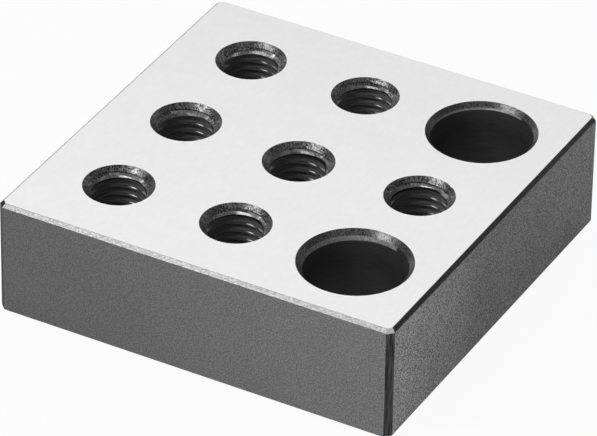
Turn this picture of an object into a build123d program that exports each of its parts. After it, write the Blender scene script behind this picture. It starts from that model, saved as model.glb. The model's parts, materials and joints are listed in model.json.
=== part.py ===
"""Machined mounting block: a square steel block with nine holes right through it.

The holes stand on a square grid. Seven are drilled for a coarse metric thread, and two, at the
corners of the +X side, are plain bores for pins or bushes. At both faces each hole opens in a
countersink with a steeper land below it.
The block rests on its underside, with the origin at the middle of that face: +Z is up, +X runs
along the front and the front faces -Y. Lengths are in millimetres.
"""
from build123d import *
import os

# Block, and the 45 degree breaks on its edges
block_width = 83.0  # along X
block_depth = 83.0  # along Y
block_height = 24.0
corner_break = 1.2  # the four upright edges
top_break = 0.7  # the edges of the top face
bottom_break = 0.5  # the edges of the underside

# Hole grid, three by three and centred on the block
hole_pitch = 25.0
middle_hole_shift = -1.2  # the middle hole stands off the grid, towards the front

# Tapped holes, M12 x 1.75
thread_diameter = 12.0
thread_pitch = 1.75
thread_height_share = 0.95  # of a full thread's height, which a 10.2 mm tap drill leaves
countersink_margin = 0.8  # all round, from the thread's outside to the countersink's rim
countersink_depth = 1.0  # at 45 degrees
land_width = 0.3  # of the steep land below the countersink
land_length = 0.6

# Plain bores
bore_diameter = 19.5
bore_countersink_depth = 0.9  # at 45 degrees, at each face
bore_land_width = 0.2  # of the steep land between the countersink and the bore
bore_land_length = 0.6

# Tap drill: a full internal thread is 5/8 as high as its sharp 60 degree triangle
full_thread_height = 5 / 8 * thread_pitch * 3**0.5 / 2
tap_drill_radius = thread_diameter / 2 - thread_height_share * full_thread_height

# Mouth of a tapped hole, from the face inwards: radius and depth of each corner of its section.
# Below the land it closes to the tap drill at 45 degrees again
countersink_radius = thread_diameter / 2 + countersink_margin
land_radius = countersink_radius - countersink_depth
lead_radius = land_radius - land_width
lead_depth = countersink_depth + land_length
tapped_mouth = [
    (countersink_radius, 0),
    (land_radius, countersink_depth),
    (lead_radius, lead_depth),
    (tap_drill_radius, lead_depth + lead_radius - tap_drill_radius),
]

# Mouth of a plain bore
bore_radius = bore_diameter / 2
bore_land_radius = bore_radius + bore_land_width
bore_mouth = [
    (bore_land_radius + bore_countersink_depth, 0),
    (bore_land_radius, bore_countersink_depth),
    (bore_radius, bore_countersink_depth + bore_land_length),
]

# Places of the holes
grid_places = [(x * hole_pitch, y * hole_pitch) for x in (-1, 0, 1) for y in (-1, 0, 1)]
bore_places = [(x, y) for x, y in grid_places if x > 0 and y != 0]
outer_tapped_places = [(x, y) for x, y in grid_places if x < 0 or (x == 0) != (y == 0)]
tapped_places = outer_tapped_places + [(0, middle_hole_shift)]


def hole_section(mouth):
    """Half the section of a hole through the block, the same at both faces."""
    lower = [(radius, block_height - depth) for radius, depth in reversed(mouth)]
    return [(0, 0), *mouth, *lower, (0, block_height)]


# Solids that the holes are cut with: each half section turned about the hole's axis
with BuildPart() as tapped_cutter:
    with BuildSketch(Plane.XZ):
        with BuildLine():
            Polyline(*hole_section(tapped_mouth), close=True)
        make_face()
    revolve(axis=Axis.Z)

with BuildPart() as bore_cutter:
    with BuildSketch(Plane.XZ):
        with BuildLine():
            Polyline(*hole_section(bore_mouth), close=True)
        make_face()
    revolve(axis=Axis.Z)

with BuildPart() as mounting_block:
    # Block with its edges broken, the upright ones first
    with BuildSketch():
        Rectangle(block_width, block_depth)
    extrude(amount=block_height)
    chamfer(mounting_block.edges().filter_by(Axis.Z), length=corner_break)
    chamfer(mounting_block.faces().sort_by(Axis.Z)[-1].edges(), length=top_break)
    chamfer(mounting_block.faces().sort_by(Axis.Z)[0].edges(), length=bottom_break)

    # Tapped holes and plain bores
    with Locations(*tapped_places):
        add(tapped_cutter.part, mode=Mode.SUBTRACT)
    with Locations(*bore_places):
        add(bore_cutter.part, mode=Mode.SUBTRACT)

mounting_block.part.label = "mounting_block"

os.makedirs("parts", exist_ok=True)
export_step(mounting_block.part, "parts/mounting_block.step")
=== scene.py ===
"""Dress of a machined mounting block, 83 mm square, with seven tapped holes and two plain bores.

The block is one closed surface laid out in patches: a square cell of each flat face around every
hole, a band round the outside, and a wall down each hole. The tapped walls carry their real
thread. All lengths are in metres.
"""
import json
import math

import bmesh
import bpy
import numpy as np
from mathutils import Matrix, Vector


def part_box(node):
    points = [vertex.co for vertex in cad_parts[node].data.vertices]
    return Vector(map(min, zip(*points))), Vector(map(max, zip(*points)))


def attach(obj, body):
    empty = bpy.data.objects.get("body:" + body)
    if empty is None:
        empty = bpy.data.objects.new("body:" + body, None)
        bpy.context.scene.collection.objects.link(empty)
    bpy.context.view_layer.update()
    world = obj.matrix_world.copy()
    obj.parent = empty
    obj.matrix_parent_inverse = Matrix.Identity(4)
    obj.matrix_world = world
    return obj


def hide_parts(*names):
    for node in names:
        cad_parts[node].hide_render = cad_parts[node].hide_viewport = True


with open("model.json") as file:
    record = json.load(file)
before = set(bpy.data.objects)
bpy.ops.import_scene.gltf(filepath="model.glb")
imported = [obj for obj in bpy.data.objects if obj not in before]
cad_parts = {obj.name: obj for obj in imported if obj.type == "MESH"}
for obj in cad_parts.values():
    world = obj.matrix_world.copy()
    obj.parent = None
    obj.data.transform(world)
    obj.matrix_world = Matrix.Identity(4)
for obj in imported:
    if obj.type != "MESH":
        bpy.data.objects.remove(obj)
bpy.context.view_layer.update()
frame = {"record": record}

mm = 0.001

# ---------------------------------------------------------------------------
# Sizes
# ---------------------------------------------------------------------------

block_low, block_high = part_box("mounting_block")
half_width = (block_high[0] - block_low[0]) / 2
half_depth = (block_high[1] - block_low[1]) / 2
height = block_high[2] - block_low[2]

corner_break = 1.2 * mm  # the four upright edges
top_break = 0.7 * mm
bottom_break = 0.5 * mm
edge_roll = 0.10 * mm  # the faces roll over into the breaks with this radius

thread_radius = 6.0 * mm  # M12, at the bottom of the groove
thread_pitch = 1.75 * mm
groove_flat = thread_pitch / 8  # width of the groove's floor
flank_angle = math.radians(30)  # of each flank, from the plane across the hole
crest_break = 0.12 * mm  # the crests' edges are worn off by this much across the hole
crest_rise = 0.93 * crest_break  # and by this much along it

# Mouth of each hole: a 45 degree countersink, then a steeper land that ends at the bore, or at
# a last 45 degree step down to the thread's crests. Each hole has its own rim radius, countersink
# depth and land length, in that order
mouth_sizes = {
    "tapped_front_left": (6.85 * mm, 1.27 * mm, 0.50 * mm),
    "tapped_middle_left": (6.83 * mm, 1.35 * mm, 0.65 * mm),
    "tapped_back_left": (6.90 * mm, 1.40 * mm, 0.45 * mm),
    "tapped_front_centre": (6.80 * mm, 1.15 * mm, 0.50 * mm),
    "tapped_centre": (6.92 * mm, 1.18 * mm, 0.60 * mm),
    "tapped_back_centre": (6.58 * mm, 1.00 * mm, 0.60 * mm),
    "tapped_middle_right": (6.76 * mm, 1.05 * mm, 0.55 * mm),
    "bore_front_right": (10.95 * mm, 1.00 * mm, 0.80 * mm),
    "bore_back_right": (10.75 * mm, 0.90 * mm, 0.35 * mm),
}
tapped_land_width = 0.25 * mm
land_skew = 0.25  # the lands stand off the axis: they are this share longer on one side
# The lands' painted light is centred on this angle too
land_skew_angle = math.radians(160)  # from +X towards +Y

# Angle in degrees, from +X towards +Y, where each thread's first groove lies this far down
groove_depth = 1.15 * mm
groove_start = {
    "tapped_front_left": 100,
    "tapped_middle_left": 112,
    "tapped_back_left": 60,
    "tapped_front_centre": 60,
    "tapped_centre": 90,
    "tapped_back_centre": 52,
    "tapped_middle_right": 95,
}

# Each first groove is painted black over this angle either side of its start, as painted shade;
# held as its cosine
first_groove_share = math.cos(math.radians(40))

# Burr left on the rim of one hole: where it is, how wide at its root, how far in and how deep
burr_hole = "tapped_middle_right"
burr_angle = math.radians(57)
burr_half_width = math.radians(4)
burr_reach, burr_depth = 0.25 * mm, 0.3 * mm

holes = [mount for mount in frame["record"]["mounts"] if mount["name"] in mouth_sizes]

cell_steps = 24  # points along each side of a cell
hole_steps = 4 * cell_steps
cell_edge = 12.5 * mm  # the cells meet halfway between the holes
ring_shares = (0, 0.12, 0.45, 1)  # where points lie between a hole's rim and its cell's edge
touching = 1e-9  # lengths that differ by less are taken as equal
weld_distance = 0.0005 * mm
sharp_angle = math.radians(5)  # faces that meet at more than this keep a sharp edge

# ---------------------------------------------------------------------------
# Patches: grids of points, each with the finish of its squares
# ---------------------------------------------------------------------------

(GROUND, MILLED, SAWN, UPRIGHT, BROKEN, COUNTERSUNK, PAINTED_SHADE_STEP, LAND, WORN, CREST, THREADED, REAMED,
 BRIGHT, BORED) = range(14)
patches = []


def lay(points, finish, grain=None):
    """Keep a grid of points, rows by columns, whose squares all have one finish or one each.

    grain is where each point's pattern is looked up: the point itself, or in a hole the place
    straight out from it on the rim, so that cutter marks run down the countersink."""
    rows, columns = points.shape[:2]
    grain = points if grain is None else grain
    patches.append((points, grain, np.broadcast_to(finish, (rows - 1, columns - 1))))


def burr(hole, angle):
    """How far a burr stands into the top rim of the hole at those angles."""
    share = 1 - np.abs(angle - burr_angle) / burr_half_width
    return burr_reach * np.clip(share, 0, 1) * (hole["name"] == burr_hole)


def turn_about(hole, r, z, angle, finish):
    """Lay the grid whose points have those radii, heights and angles about a hole's axis."""
    x, y = hole["pos_m"][:2]
    rim = mouth_steps(hole)[1][0]
    r = r - burr(hole, angle) * np.clip(1 - (height - z) / burr_depth, 0, 1)
    points = np.stack([x + r * np.cos(angle), y + r * np.sin(angle), z], axis=-1)
    grain = np.stack([x + rim * np.cos(angle) + 0 * r, y + rim * np.sin(angle) + 0 * r, z], axis=-1)
    lay(points, finish, grain)


def side_marks(half, inset):
    """Coordinates of the points along one side of the block's outline, drawn in by inset.

    The first and last are the outline's square corners and their neighbours the ends of the
    corner breaks. The rest are evenly spaced in three runs that meet at the cells' edges."""
    reach = half - inset
    break_end = reach - corner_cut(inset)
    outer = np.linspace(cell_edge, break_end, cell_steps)
    middle = np.linspace(-cell_edge, cell_edge, cell_steps + 1)
    return np.concatenate([[-reach], -outer[:0:-1], middle, outer[1:], [reach]])


def corner_cut(inset):
    """Length that the corner break takes off each side of the outline, drawn in by inset."""
    return corner_break - inset * (2 - math.sqrt(2))


def break_corners(x, y, inset):
    """Move each square corner of the outline onto the middle of its break."""
    past_x = np.abs(x) > half_width - inset - touching
    past_y = np.abs(y) > half_depth - inset - touching
    corner = past_x & past_y
    shift = np.where(corner, corner_cut(inset) / 2, 0)
    return x - np.sign(x) * shift, y - np.sign(y) * shift


def around(xs, ys):
    """Points anticlockwise round a rectangle with those marks on its sides, first one repeated."""
    across, along = len(xs) - 1, len(ys) - 1
    x = np.concatenate([xs[:-1], np.full(along, xs[-1]), xs[:0:-1], np.full(along + 1, xs[0])])
    y = np.concatenate([np.full(across, ys[0]), ys[:-1], np.full(across, ys[-1]), ys[::-1]])
    return x, y


def hole_angles():
    """Angles of the points round a hole, from its cell's front left corner, first one repeated."""
    return -0.75 * math.pi + np.linspace(0, 2 * math.pi, hole_steps + 1)


def mouth_steps(hole):
    """Depths of the corners of a hole's mouth at each of the hole's angles, and their radii.

    The land's length falls and rises once round the hole, as a cosine of the angle."""
    rim, cut, length = mouth_sizes[hole["name"]]
    radius = hole["dims"]["r_mm"] * mm
    tapped = hole["kind"] == "threaded_hole"
    lead = rim - cut - tapped_land_width if tapped else radius
    side = np.cos(hole_angles() - land_skew_angle)
    runs = [0 * side, cut + 0 * side, length * (1 + land_skew * side), lead - radius + 0 * side]
    return np.cumsum(runs, axis=0), np.array([rim, rim - cut, lead, radius])


def painted_light_half_turn():
    """Whether each square round a hole lies in the half turn where its land is painted light,
    lighter there than round the rest of the hole.
    """
    return np.cos(hole_angles()[1:] - land_skew_angle) > 0


def face_cell(hole, inset, z, upward):
    """One cell of a flat face: every point of the hole's rim is joined to the point of the
    cell's edge with the same number by a straight line, cut at a few shares of its length."""
    xs, ys = side_marks(half_width, inset), side_marks(half_depth, inset)
    column = round(hole["pos_m"][0] / (2 * cell_edge)) + 1
    row = round(hole["pos_m"][1] / (2 * cell_edge)) + 1
    xs = xs[column * cell_steps:(column + 1) * cell_steps + 1]
    ys = ys[row * cell_steps:(row + 1) * cell_steps + 1]
    edge_x, edge_y = break_corners(*around(xs, ys), inset)
    angle = hole_angles()
    radius = mouth_steps(hole)[1][0] - (burr(hole, angle) if upward else 0)
    rim_x = hole["pos_m"][0] + radius * np.cos(angle)
    rim_y = hole["pos_m"][1] + radius * np.sin(angle)
    share = np.array(ring_shares)[:, None]
    x = rim_x + share * (edge_x - rim_x)
    y = rim_y + share * (edge_y - rim_y)
    points = np.stack([x, y, np.full_like(x, z)], axis=-1)
    lay(points if upward else points[::-1], GROUND)


def rolled_break(size):
    """Inset and drop of the points across a 45 degree break of that size, from the flat face
    down to the side: a short arc, the break's straight face and another short arc."""
    turn = np.radians([0, 15, 30, 45])
    trim = edge_roll * math.tan(math.radians(22.5))
    upper_inset = size + trim - edge_roll * np.sin(turn)
    upper_drop = edge_roll * (1 - np.cos(turn))
    inset = np.concatenate([upper_inset, upper_drop[::-1]])
    drop = np.concatenate([upper_drop, upper_inset[::-1]])
    return inset, drop


def outside_band():
    """The block's outline carried down its edge profile: the rolled top break, the side and the
    rolled bottom break. The upright breaks are the two steps on each side of a corner."""
    top_inset, top_drop = rolled_break(top_break)
    bottom_inset, bottom_drop = rolled_break(bottom_break)
    inset = np.concatenate([top_inset, bottom_inset[::-1]])
    z = np.concatenate([height - top_drop, bottom_drop[::-1]])
    rings = []
    for ring_inset, ring_z in zip(inset, z):
        x, y = around(side_marks(half_width, ring_inset), side_marks(half_depth, ring_inset))
        x, y = break_corners(x, y, ring_inset)
        rings.append(np.stack([x, y, np.full_like(x, ring_z)], axis=-1))
    points = np.array(rings)
    side_steps = 3 * cell_steps
    step = np.arange(4 * side_steps)
    at_corner = (step % side_steps == 0) | (step % side_steps == side_steps - 1)
    finish = np.where(at_corner, UPRIGHT, np.where(step // side_steps % 2 == 0, MILLED, SAWN))
    finish = finish[None, :].repeat(len(z) - 1, axis=0)
    top_rows = slice(0, len(top_inset) - 1)
    finish[top_rows] = BROKEN
    # The tip of the front right corner has the top face's bright ground finish
    finish[top_rows, side_steps - 1:side_steps + 1] = GROUND
    finish[len(top_inset):] = BROKEN
    lay(points, finish)


def turned_wall(hole):
    """A plain bore: its half section, mirrored at mid height, turned about the hole's axis."""
    depth, radius = mouth_steps(hole)
    depth, radius = depth[:3], radius[:3]
    r = np.concatenate([radius, radius[::-1]])[:, None] + 0 * depth[:1]
    z = np.concatenate([depth, height - depth[::-1]])
    reamed, bored = np.full(hole_steps, REAMED), np.full(hole_steps, BORED)
    # The land is lighter over one half turn only, which is painted light
    land = np.where(painted_light_half_turn(), BRIGHT, REAMED)
    turn_about(hole, r, z, hole_angles(), np.array([reamed, land, bored, land, reamed]))


def threaded_wall(hole):
    """A tapped wall with a right-hand 60 degree thread.

    The rows follow the thread: each is a corner of its section, raised by one pitch per turn.
    Between two corners lie further rows: one where the straight line that joins them meets each
    line of the mouth's section, and one at the depth of each of that section's corners. A row
    that has no such place between its two corners is slid onto one of them. Heights past the
    flat faces are held at the faces, and the radius is the larger of the thread's and the
    mouth's at that height."""
    mouth_depth, mouth_r = mouth_steps(hole)
    crest_radius = mouth_r[-1]
    flank = (thread_radius - crest_radius) * math.tan(flank_angle)
    worn_radius = crest_radius + crest_break
    worn_flank = flank - crest_break * math.tan(flank_angle)
    crest_flat = thread_pitch - groove_flat - 2 * (worn_flank + crest_rise)
    corner_z = np.cumsum([0, crest_flat, crest_rise, worn_flank, groove_flat, worn_flank])
    corner_r = np.array([crest_radius, crest_radius, worn_radius, thread_radius, thread_radius,
                         worn_radius])

    angle = hole_angles()
    groove_middle = crest_flat + crest_rise + worn_flank + groove_flat / 2
    start = height - groove_depth - groove_middle - thread_pitch * math.ceil(height / thread_pitch)
    turned = (angle - math.radians(groove_start[hole["name"]])) / (2 * math.pi)
    turns = np.arange(-1, math.ceil(height / thread_pitch) + 3)
    z = start + (turns[:, None] * thread_pitch + corner_z).ravel()[:, None] + thread_pitch * turned
    r = np.repeat(np.tile(corner_r, len(turns))[:, None], len(angle), axis=1)

    z0, r0, dz, dr = z[:-1], r[:-1], np.diff(z, axis=0), np.diff(r, axis=0)
    upper = z0 > height / 2
    depth0, ddepth = np.where(upper, height - z0, z0), np.where(upper, -dz, dz)
    shares = [np.zeros_like(z0)]
    mouth_run, mouth_fall = np.diff(mouth_r), np.diff(mouth_depth, axis=0)
    for corner in range(3):
        slope = mouth_run[corner] / mouth_fall[corner]
        line0 = mouth_r[corner] + slope * (depth0 - mouth_depth[corner])
        shares.append((line0 - r0) / (dr - slope * ddepth))
        shares.append((mouth_depth[corner + 1] - depth0) / ddepth)
    share = np.sort(np.clip(shares, 0, 1), axis=0)
    all_z = (z0 + share * dz).transpose(1, 0, 2).reshape(-1, len(angle))
    all_r = (r0 + share * dr).transpose(1, 0, 2).reshape(-1, len(angle))

    all_z = np.clip(all_z, 0, height)
    depth = np.minimum(all_z, height - all_z)
    mouth = np.full(depth.shape, crest_radius)
    for corner in (2, 1, 0):
        down = (depth - mouth_depth[corner]) / mouth_fall[corner]
        line = mouth_r[corner] + down * mouth_run[corner]
        mouth = np.where(depth < mouth_depth[corner + 1], line, mouth)
    on_mouth = mouth >= all_r - touching
    all_r = np.maximum(all_r, mouth)

    square_on_mouth = on_mouth[:-1, :-1] & on_mouth[1:, :-1] & on_mouth[:-1, 1:] & on_mouth[1:, 1:]
    square_depth = (depth[:-1, :-1] + depth[1:, :-1] + depth[:-1, 1:] + depth[1:, 1:]) / 4
    # The thread's section from one crest up to the next: crest, worn edge, flank that faces up,
    # groove, flank that faces down, worn edge
    section = np.arange(len(square_depth)) // len(shares) % len(corner_r)
    thread_finish = np.array([CREST, WORN, THREADED, THREADED, THREADED, WORN])
    faces_up = section[:, None] == 2
    finish = thread_finish[section][:, None].repeat(len(angle) - 1, axis=1)
    # Painted shade: where the first groove breaks into the mouth it is black about its start, but
    # for the flank that faces up, which has the land's finish
    about_start = np.cos(angle[1:] - math.radians(groove_start[hole["name"]])) > first_groove_share
    # The land is lighter over one half turn only, which is painted light
    land = np.where(painted_light_half_turn(), LAND, COUNTERSUNK)
    first_groove = np.where(faces_up, land, PAINTED_SHADE_STEP)
    in_mouth = square_depth < mouth_depth[2, 1:]
    finish = np.where(in_mouth, np.where(about_start, first_groove, COUNTERSUNK), finish)
    # The last step of each tapped mouth is painted black and matt: painted shade
    for corner, name in ((3, PAINTED_SHADE_STEP), (2, land), (1, COUNTERSUNK)):
        finish = np.where(square_on_mouth & (square_depth < mouth_depth[corner, 1:]), name, finish)
    turn_about(hole, all_r, all_z, angle, finish)


# How far in from the sides the two flat faces end
top_face_inset = rolled_break(top_break)[0][0]
underside_inset = rolled_break(bottom_break)[0][0]
for hole in holes:
    face_cell(hole, top_face_inset, height, upward=True)
    face_cell(hole, underside_inset, 0, upward=False)
    if hole["kind"] == "threaded_hole":
        threaded_wall(hole)
    else:
        turned_wall(hole)
outside_band()


def join_patches(name, materials):
    """One closed mesh from all the patches, with the points that coincide made one."""
    corners, grains, squares, finishes = [], [], [], []
    start = 0
    for points, grain, finish in patches:
        rows, columns = points.shape[:2]
        number = start + np.arange(rows * columns).reshape(rows, columns)
        square = np.stack([number[:-1, :-1], number[1:, :-1], number[1:, 1:], number[:-1, 1:]], -1)
        corners.append(points.reshape(-1, 3))
        grains.append(grain.reshape(-1, 3))
        squares.append(square.reshape(-1, 4))
        finishes.append(finish.reshape(-1))
        start += rows * columns
    squares = np.concatenate(squares)
    mesh = bpy.data.meshes.new(name)
    mesh.vertices.add(start)
    mesh.vertices.foreach_set("co", np.concatenate(corners).ravel())
    lookup = mesh.attributes.new("grain", "FLOAT_VECTOR", "POINT")
    lookup.data.foreach_set("vector", np.concatenate(grains).ravel())
    mesh.loops.add(squares.size)
    mesh.loops.foreach_set("vertex_index", squares.ravel())
    mesh.polygons.add(len(squares))
    mesh.polygons.foreach_set("loop_start", np.arange(0, squares.size, 4))
    mesh.polygons.foreach_set("material_index", np.concatenate(finishes).astype(np.int32))
    for material in materials:
        mesh.materials.append(material)
    mesh.update(calc_edges=True)
    work = bmesh.new()
    work.from_mesh(mesh)
    bmesh.ops.remove_doubles(work, verts=work.verts, dist=weld_distance)
    work.to_mesh(mesh)
    open_edges = sum(not edge.is_manifold for edge in work.edges)
    print("block:", len(work.verts), "points,", len(work.faces), "faces,",
          open_edges, "open edges,", round(work.calc_volume() / mm**3), "mm3")
    work.free()
    mesh.shade_smooth()
    mesh.set_sharp_from_angle(angle=sharp_angle)
    piece = bpy.data.objects.new(name, mesh)
    bpy.context.collection.objects.link(piece)
    return piece


# ---------------------------------------------------------------------------
# Finishes
# ---------------------------------------------------------------------------


def linear(code):
    """An sRGB hex colour as linear red, green, blue and alpha."""
    part = np.array([int(code[i:i + 2], 16) / 255 for i in (1, 3, 5)])
    part = np.where(part <= 0.04045, part / 12.92, ((part + 0.055) / 1.055) ** 2.4)
    return (*part, 1.0)


def add(material, kind, inputs=(), **settings):
    """Add a node, set its properties, and set or link each named or numbered input."""
    node = material.node_tree.nodes.new("ShaderNode" + kind)
    for key, value in settings.items():
        setattr(node, key, value)
    for key, value in dict(inputs).items():
        if isinstance(value, bpy.types.NodeSocket):
            material.node_tree.links.new(value, node.inputs[key])
        else:
            node.inputs[key].default_value = value
    return node


def new_finish(name):
    """An empty node material, with its surface shader and the object's own coordinates in mm."""
    material = bpy.data.materials.new(name)
    material.use_nodes = True
    material.node_tree.nodes.clear()
    shader = add(material, "BsdfPrincipled")
    add(material, "OutputMaterial", {"Surface": shader.outputs["BSDF"]})
    place = add(material, "TexCoord").outputs["Object"]
    return material, shader, in_mm(material, place)


def in_mm(material, place):
    """That place in mm."""
    scaled = add(material, "VectorMath", {0: place, "Scale": 1 / mm}, operation="SCALE")
    return scaled.outputs["Vector"]


def ground_steel():
    """Tool steel, surface ground: bright, with a soft lustre from fine lines.

    Real grinding lines lie well under 0.1 mm apart. These are about 1 mm apart, to show."""
    material, shader, place = new_finish("surface_ground_steel")
    link = material.node_tree.links.new
    stretched = add(material, "Mapping", {"Vector": place, "Scale": (1.2, 0.5, 1.0)})
    lines = add(material, "TexNoise", {"Vector": stretched.outputs["Vector"], "Scale": 1.0,
                                       "Detail": 3.0})
    clouds = add(material, "TexNoise", {"Vector": place, "Scale": 0.12, "Detail": 4.0,
                                        "Roughness": 0.6})
    both = add(material, "Mix", {0: 0.5, 2: lines.outputs["Fac"], 3: clouds.outputs["Fac"]})
    colour = add(material, "ValToRGB", {"Fac": both.outputs[0]})
    colour.color_ramp.elements[0].position = 0.3
    colour.color_ramp.elements[0].color = linear("#e8e8e8")
    colour.color_ramp.elements[1].position = 0.7
    colour.color_ramp.elements[1].color = linear("#f0f0f0")
    link(colour.outputs["Color"], shader.inputs["Base Color"])
    rough = add(material, "MapRange", {"Value": both.outputs[0], "To Min": 0.3, "To Max": 0.4})
    link(rough.outputs["Result"], shader.inputs["Roughness"])
    shader.inputs["Metallic"].default_value = 0.4
    return material


# Distances in mm that the painted shade and painted light of the blackened finishes go by
painted_shade_start = 5.0  # from the block's front right edge
groove_reach, crest_reach = 0.7, 1.6  # in from the rim, near a thread's groove and its crest
mouth_reach = 1.5  # down from the nearer face


def blackened_steel(name, dark, light, scale, grain_height, metallic, roughness, gloss=0.5,
                    painted_shade=(0, 1), painted_light=0):
    """Steel blackened in hot oxide, between two shades of grey that follow a fine grain.

    scale is the number of grains per mm along X, Y and Z, and grain_height their depth. Real
    grains are about 0.1 mm or less, and these are drawn 2 to 4 times as wide, to show. gloss is
    the strength of the sheen of what isn't metallic: 0.5 is that of oil or clear oxide. The last
    two arguments paint light and shade into the colour. The first is painted shade: the share of
    its colour that it loses away from the block's front right edge, and the distance in mm at which
    all of that is lost. The second is painted light that lifts the shade of a thread's grooves: the
    share that the colour gains there. Halfway down a hole it gains half that share more."""
    material, shader, point = new_finish(name)
    place = in_mm(material, add(material, "Attribute", attribute_name="grain").outputs["Vector"])
    link = material.node_tree.links.new
    stretched = add(material, "Mapping", {"Vector": place, "Scale": scale})
    grain = add(material, "TexNoise", {"Vector": stretched.outputs["Vector"], "Scale": 1.0,
                                       "Detail": 3.0, "Roughness": 0.7})
    clouds = add(material, "TexNoise", {"Vector": place, "Scale": 0.09, "Detail": 3.0})
    both = add(material, "Mix", {0: 0.06, 2: grain.outputs["Fac"], 3: clouds.outputs["Fac"]})
    colour = add(material, "ValToRGB", {"Fac": both.outputs[0]})
    colour.color_ramp.elements[0].position = 0.4
    colour.color_ramp.elements[0].color = linear(dark)
    colour.color_ramp.elements[1].position = 0.6
    colour.color_ramp.elements[1].color = linear(light)

    # Painted shade: paler towards the front right edge and darker away from it
    edge = (half_width / mm, -half_depth / mm, 0)
    from_edge = add(material, "VectorMath", {0: place, 1: edge}, operation="SUBTRACT")
    level = add(material, "VectorMath", {0: from_edge.outputs["Vector"], 1: (1, 1, 0)},
                operation="MULTIPLY")
    away = add(material, "VectorMath", {0: level.outputs["Vector"]}, operation="LENGTH")
    tone = add(material, "MapRange", {"Value": away.outputs["Value"], "From Min": painted_shade_start,
                                      "From Max": painted_shade[1], "To Min": 1.0, "To Max": 1 - painted_shade[0]})

    # Painted light: lighter in the grooves and deep in the holes, to lift the shade there
    from_rim = add(material, "VectorMath", {0: place, 1: point}, operation="DISTANCE")
    groove = add(material, "MapRange", {"Value": from_rim.outputs["Value"],
                                        "From Min": groove_reach, "From Max": crest_reach,
                                        "To Min": 1 + painted_light, "To Max": 1.0})
    half_height = height / mm / 2
    up = add(material, "SeparateXYZ", {0: point})
    down = add(material, "Math", {0: up.outputs["Z"], 1: half_height}, operation="PINGPONG")
    deep = add(material, "MapRange", {"Value": down.outputs[0], "From Min": mouth_reach,
                                      "From Max": half_height, "To Min": 1.0,
                                      "To Max": 1 + painted_light / 2})
    painted_light_gain = add(material, "Math", {0: groove.outputs["Result"], 1: deep.outputs["Result"]},
                  operation="MULTIPLY")
    shade = add(material, "Math", {0: painted_light_gain.outputs[0], 1: tone.outputs["Result"]},
                operation="MULTIPLY")
    toned = add(material, "Mix", {0: 1.0, 6: colour.outputs["Color"], 7: shade.outputs[0]},
                data_type="RGBA", blend_type="MULTIPLY")
    link(toned.outputs[2], shader.inputs["Base Color"])
    bump = add(material, "Bump", {"Height": grain.outputs["Fac"], "Strength": 1.0,
                                  "Distance": grain_height})
    link(bump.outputs["Normal"], shader.inputs["Normal"])
    shader.inputs["Metallic"].default_value = metallic
    shader.inputs["Roughness"].default_value = roughness
    shader.inputs["Specular IOR Level"].default_value = gloss
    return material


# In the order of their numbers above
finishes = [
    ground_steel(),
    # front and back, milled: dark grey, with a fine even grain, and painted shade that darkens them
    # away from the front right edge
    blackened_steel("blackened_milled_side", "#6c6c6c", "#929292", (3.4, 3.4, 3.4), 0.01 * mm,
                    1.0, 0.45, painted_shade=(0.3, 85)),
    # left and right, sawn and then milled: a slightly finer grain, but a much stronger one, and
    # stronger painted shade away from the front right edge
    blackened_steel("blackened_sawn_side", "#2a2a2a", "#bababa", (4.2, 4.2, 4.2), 0.01 * mm,
                    1.0, 0.45, painted_shade=(0.46, 38)),
    # upright breaks: nearly black and matt, with upright streaks
    blackened_steel("blackened_upright_break", "#2c2c2c", "#5c5c5c", (2.4, 2.4, 0.12), 0.02 * mm,
                    0.0, 0.6, gloss=0.05),
    # top and bottom breaks: filed, so that a coarse grain breaks up their sheen
    blackened_steel("blackened_filed_break", "#545454", "#6e6e6e", (2.4, 2.4, 2.8), 0.025 * mm,
                    1.0, 0.3),
    # countersinks: marks of the cutter's chatter run down them, and they are glossy
    blackened_steel("blackened_countersink", "#080808", "#909090", (3.6, 3.6, 3.2), 0.06 * mm,
                    0.6, 0.2),
    # last step of each tapped mouth, and the groove that breaks into it: painted shade, black and
    # matt
    blackened_steel("painted_shade_step", "#121212", "#1a1a1a", (3.0, 3.0, 3.0), 0.01 * mm,
                    0.0, 0.6, gloss=0.05),
    # lands of the tapped mouths, rubbed lighter by the cutter, and laid only over the half turn
    # where they show lit, which is painted light
    blackened_steel("rubbed_land_and_painted_light", "#888888", "#d0d0d0", (2.5, 2.5, 2.0), 0.02 * mm, 0.6, 0.2),
    # crests' worn edges: they glint towards the light and are dark elsewhere
    blackened_steel("rubbed_crest_edge", "#404040", "#505050", (3.0, 3.0, 3.0), 0.01 * mm,
                    1.0, 0.2),
    # crests: a little lighter than the flanks, with the same sheen and the same painted light deep
    # in the hole
    blackened_steel("blackened_thread_crest", "#626262", "#6e6e6e", (3.0, 3.0, 3.0), 0.01 * mm,
                    0.0, 0.15, painted_light=1.4),
    # threads' flanks and grooves: nearly black, with a sheen of oil, and painted light that lifts
    # the shade of the grooves and of the deep hole
    blackened_steel("blackened_thread", "#4e4e4e", "#5a5a5a", (3.0, 3.0, 3.0), 0.01 * mm,
                    0.0, 0.15, painted_light=1.4),
    # mouths of the bores: a softer, finer grain than the countersinks'
    blackened_steel("blackened_bore_mouth", "#2c2c2c", "#7c7c7c", (4.5, 4.5, 4.5), 0.03 * mm,
                    0.7, 0.3),
    # lands of the bores: rubbed brighter than the tapped holes' lands, and laid only over the half
    # turn where they show lit, which is painted light
    blackened_steel("rubbed_bore_land_and_painted_light", "#c0c0c0", "#f0f0f0", (2.5, 2.5, 2.0), 0.02 * mm,
                    0.6, 0.25),
    # bores: nearly black and smooth, with painted light that lifts their shade deep in the hole
    blackened_steel("blackened_bore", "#2e2e2e", "#383838", (0.3, 0.3, 3.0), 0.01 * mm,
                    0.1, 0.5, painted_light=0.6),
]

block = join_patches("block", finishes)
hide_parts("mounting_block")
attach(block, "root")

# ---------------------------------------------------------------------------
# Floor, light and camera
# ---------------------------------------------------------------------------


seen_white = 0.94  # share of its own white in what the camera sees of the table
mirrored_white = 0.5  # and in what the block's gloss sees of it


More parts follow.
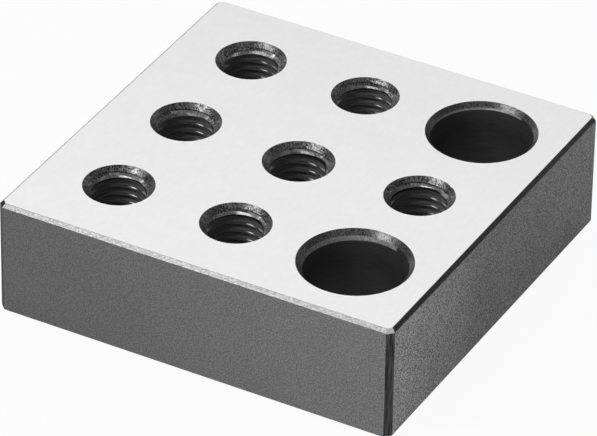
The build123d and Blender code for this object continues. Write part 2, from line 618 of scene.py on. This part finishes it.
def floor():
    """A pale matt table top, with a white of its own that keeps it pale under a soft shadow."""
    bpy.ops.mesh.primitive_plane_add(size=12, location=(0, 0, 0))
    table = bpy.context.object
    table.name = "table_top"
    material, shader, _ = new_finish("pale_matt_board")
    shader.inputs["Base Color"].default_value = linear("#f4f4f4")
    shader.inputs["Roughness"].default_value = 0.9
    shader.inputs["Specular IOR Level"].default_value = 0.1
    path = add(material, "LightPath")
    camera_share = add(material, "Math", {0: path.outputs["Is Camera Ray"], 1: seen_white},
                       operation="MULTIPLY")
    gloss = add(material, "Math", {0: path.outputs["Is Glossy Ray"],
                                   1: path.outputs["Is Transmission Ray"]}, operation="MAXIMUM")
    gloss_share = add(material, "Math", {0: gloss.outputs[0], 1: mirrored_white},
                      operation="MULTIPLY")
    share = add(material, "Math", {0: camera_share.outputs[0], 1: gloss_share.outputs[0]},
                operation="MAXIMUM")
    glow = add(material, "Emission", {"Strength": 1.0})
    lit = add(material, "MixShader", {0: share.outputs[0], 1: shader.outputs["BSDF"],
                                      2: glow.outputs[0]})
    output = material.node_tree.nodes["Material Output"]
    material.node_tree.links.new(lit.outputs[0], output.inputs["Surface"])
    table.data.materials.append(material)


def direction(azimuth, elevation):
    """Unit vector from the block towards that azimuth, from the front and turning right, and
    elevation above the table."""
    a, e = math.radians(azimuth), math.radians(elevation)
    return Vector((math.sin(a) * math.cos(e), -math.cos(a) * math.cos(e), math.sin(e)))


def softbox(name, azimuth, elevation, distance, width, tall, radiance):
    """A lit panel that faces the block, as bright as its radiance."""
    lamp = bpy.data.lights.new(name, "AREA")
    lamp.shape = "RECTANGLE"
    lamp.size, lamp.size_y = width, tall
    lamp.energy = radiance * math.pi * width * tall
    panel = bpy.data.objects.new(name, lamp)
    towards = direction(azimuth, elevation)
    panel.rotation_euler = towards.to_track_quat("Z", "Y").to_euler()
    panel.location = towards * distance + Vector((0, 0, height))
    bpy.context.collection.objects.link(panel)


floor()
softbox("key_panel", -37, 47, 1.0, 0.28, 0.28, 13.0)
softbox("left_panel", -98, 46, 1.0, 0.24, 0.24, 4.0)
softbox("back_left_panel", 208, 45, 1.2, 0.9, 0.7, 1.84)
softbox("low_back_left_panel", -125, 12, 1.0, 0.6, 0.2, 2.4)
softbox("fill_panel", 50, 46, 1.2, 1.0, 0.8, 0.3)
softbox("right_panel", 160, 24, 1.0, 0.4, 0.24, 1.2)
softbox("low_right_panel", 95, 14, 1.0, 0.4, 0.14, 2.0)
softbox("low_front_left_panel", -45, 14, 1.0, 1.0, 0.14, 1.4)
softbox("low_front_panel", 1, 10, 1.0, 0.8, 0.24, 3.4)

world = bpy.data.worlds.new("studio")
world.use_nodes = True
world.node_tree.nodes["Background"].inputs["Color"].default_value = linear("#ffffff")
world.node_tree.nodes["Background"].inputs["Strength"].default_value = 0.12
bpy.context.scene.world = world

camera_azimuth = 28.5
camera_elevation = 34.05
camera_roll = math.radians(0.95)
camera_distance = 1061.3 * mm
# The top face's centre stands this far to the right of and above the view's centre
aim_right, aim_up = 0.6 * mm, 11.2 * mm

back = direction(camera_azimuth, camera_elevation)
turn = math.radians(camera_azimuth)
level = Vector((math.cos(turn), math.sin(turn), 0))
upright = back.cross(level)
right = math.cos(camera_roll) * level + math.sin(camera_roll) * upright
up = math.cos(camera_roll) * upright - math.sin(camera_roll) * level
camera = bpy.data.objects.new("camera", bpy.data.cameras.new("camera"))
place = Vector((0, 0, height)) + camera_distance * back - aim_right * right - aim_up * up
camera.matrix_world = Matrix((
    (right.x, up.x, back.x, place.x),
    (right.y, up.y, back.y, place.y),
    (right.z, up.z, back.z, place.z),
    (0, 0, 0, 1),
))
camera.data.sensor_width = 36
camera.data.lens = 341.7
camera.data.clip_end = 20
bpy.context.collection.objects.link(camera)
bpy.context.scene.camera = camera

bpy.context.scene.view_settings.view_transform = "Standard"
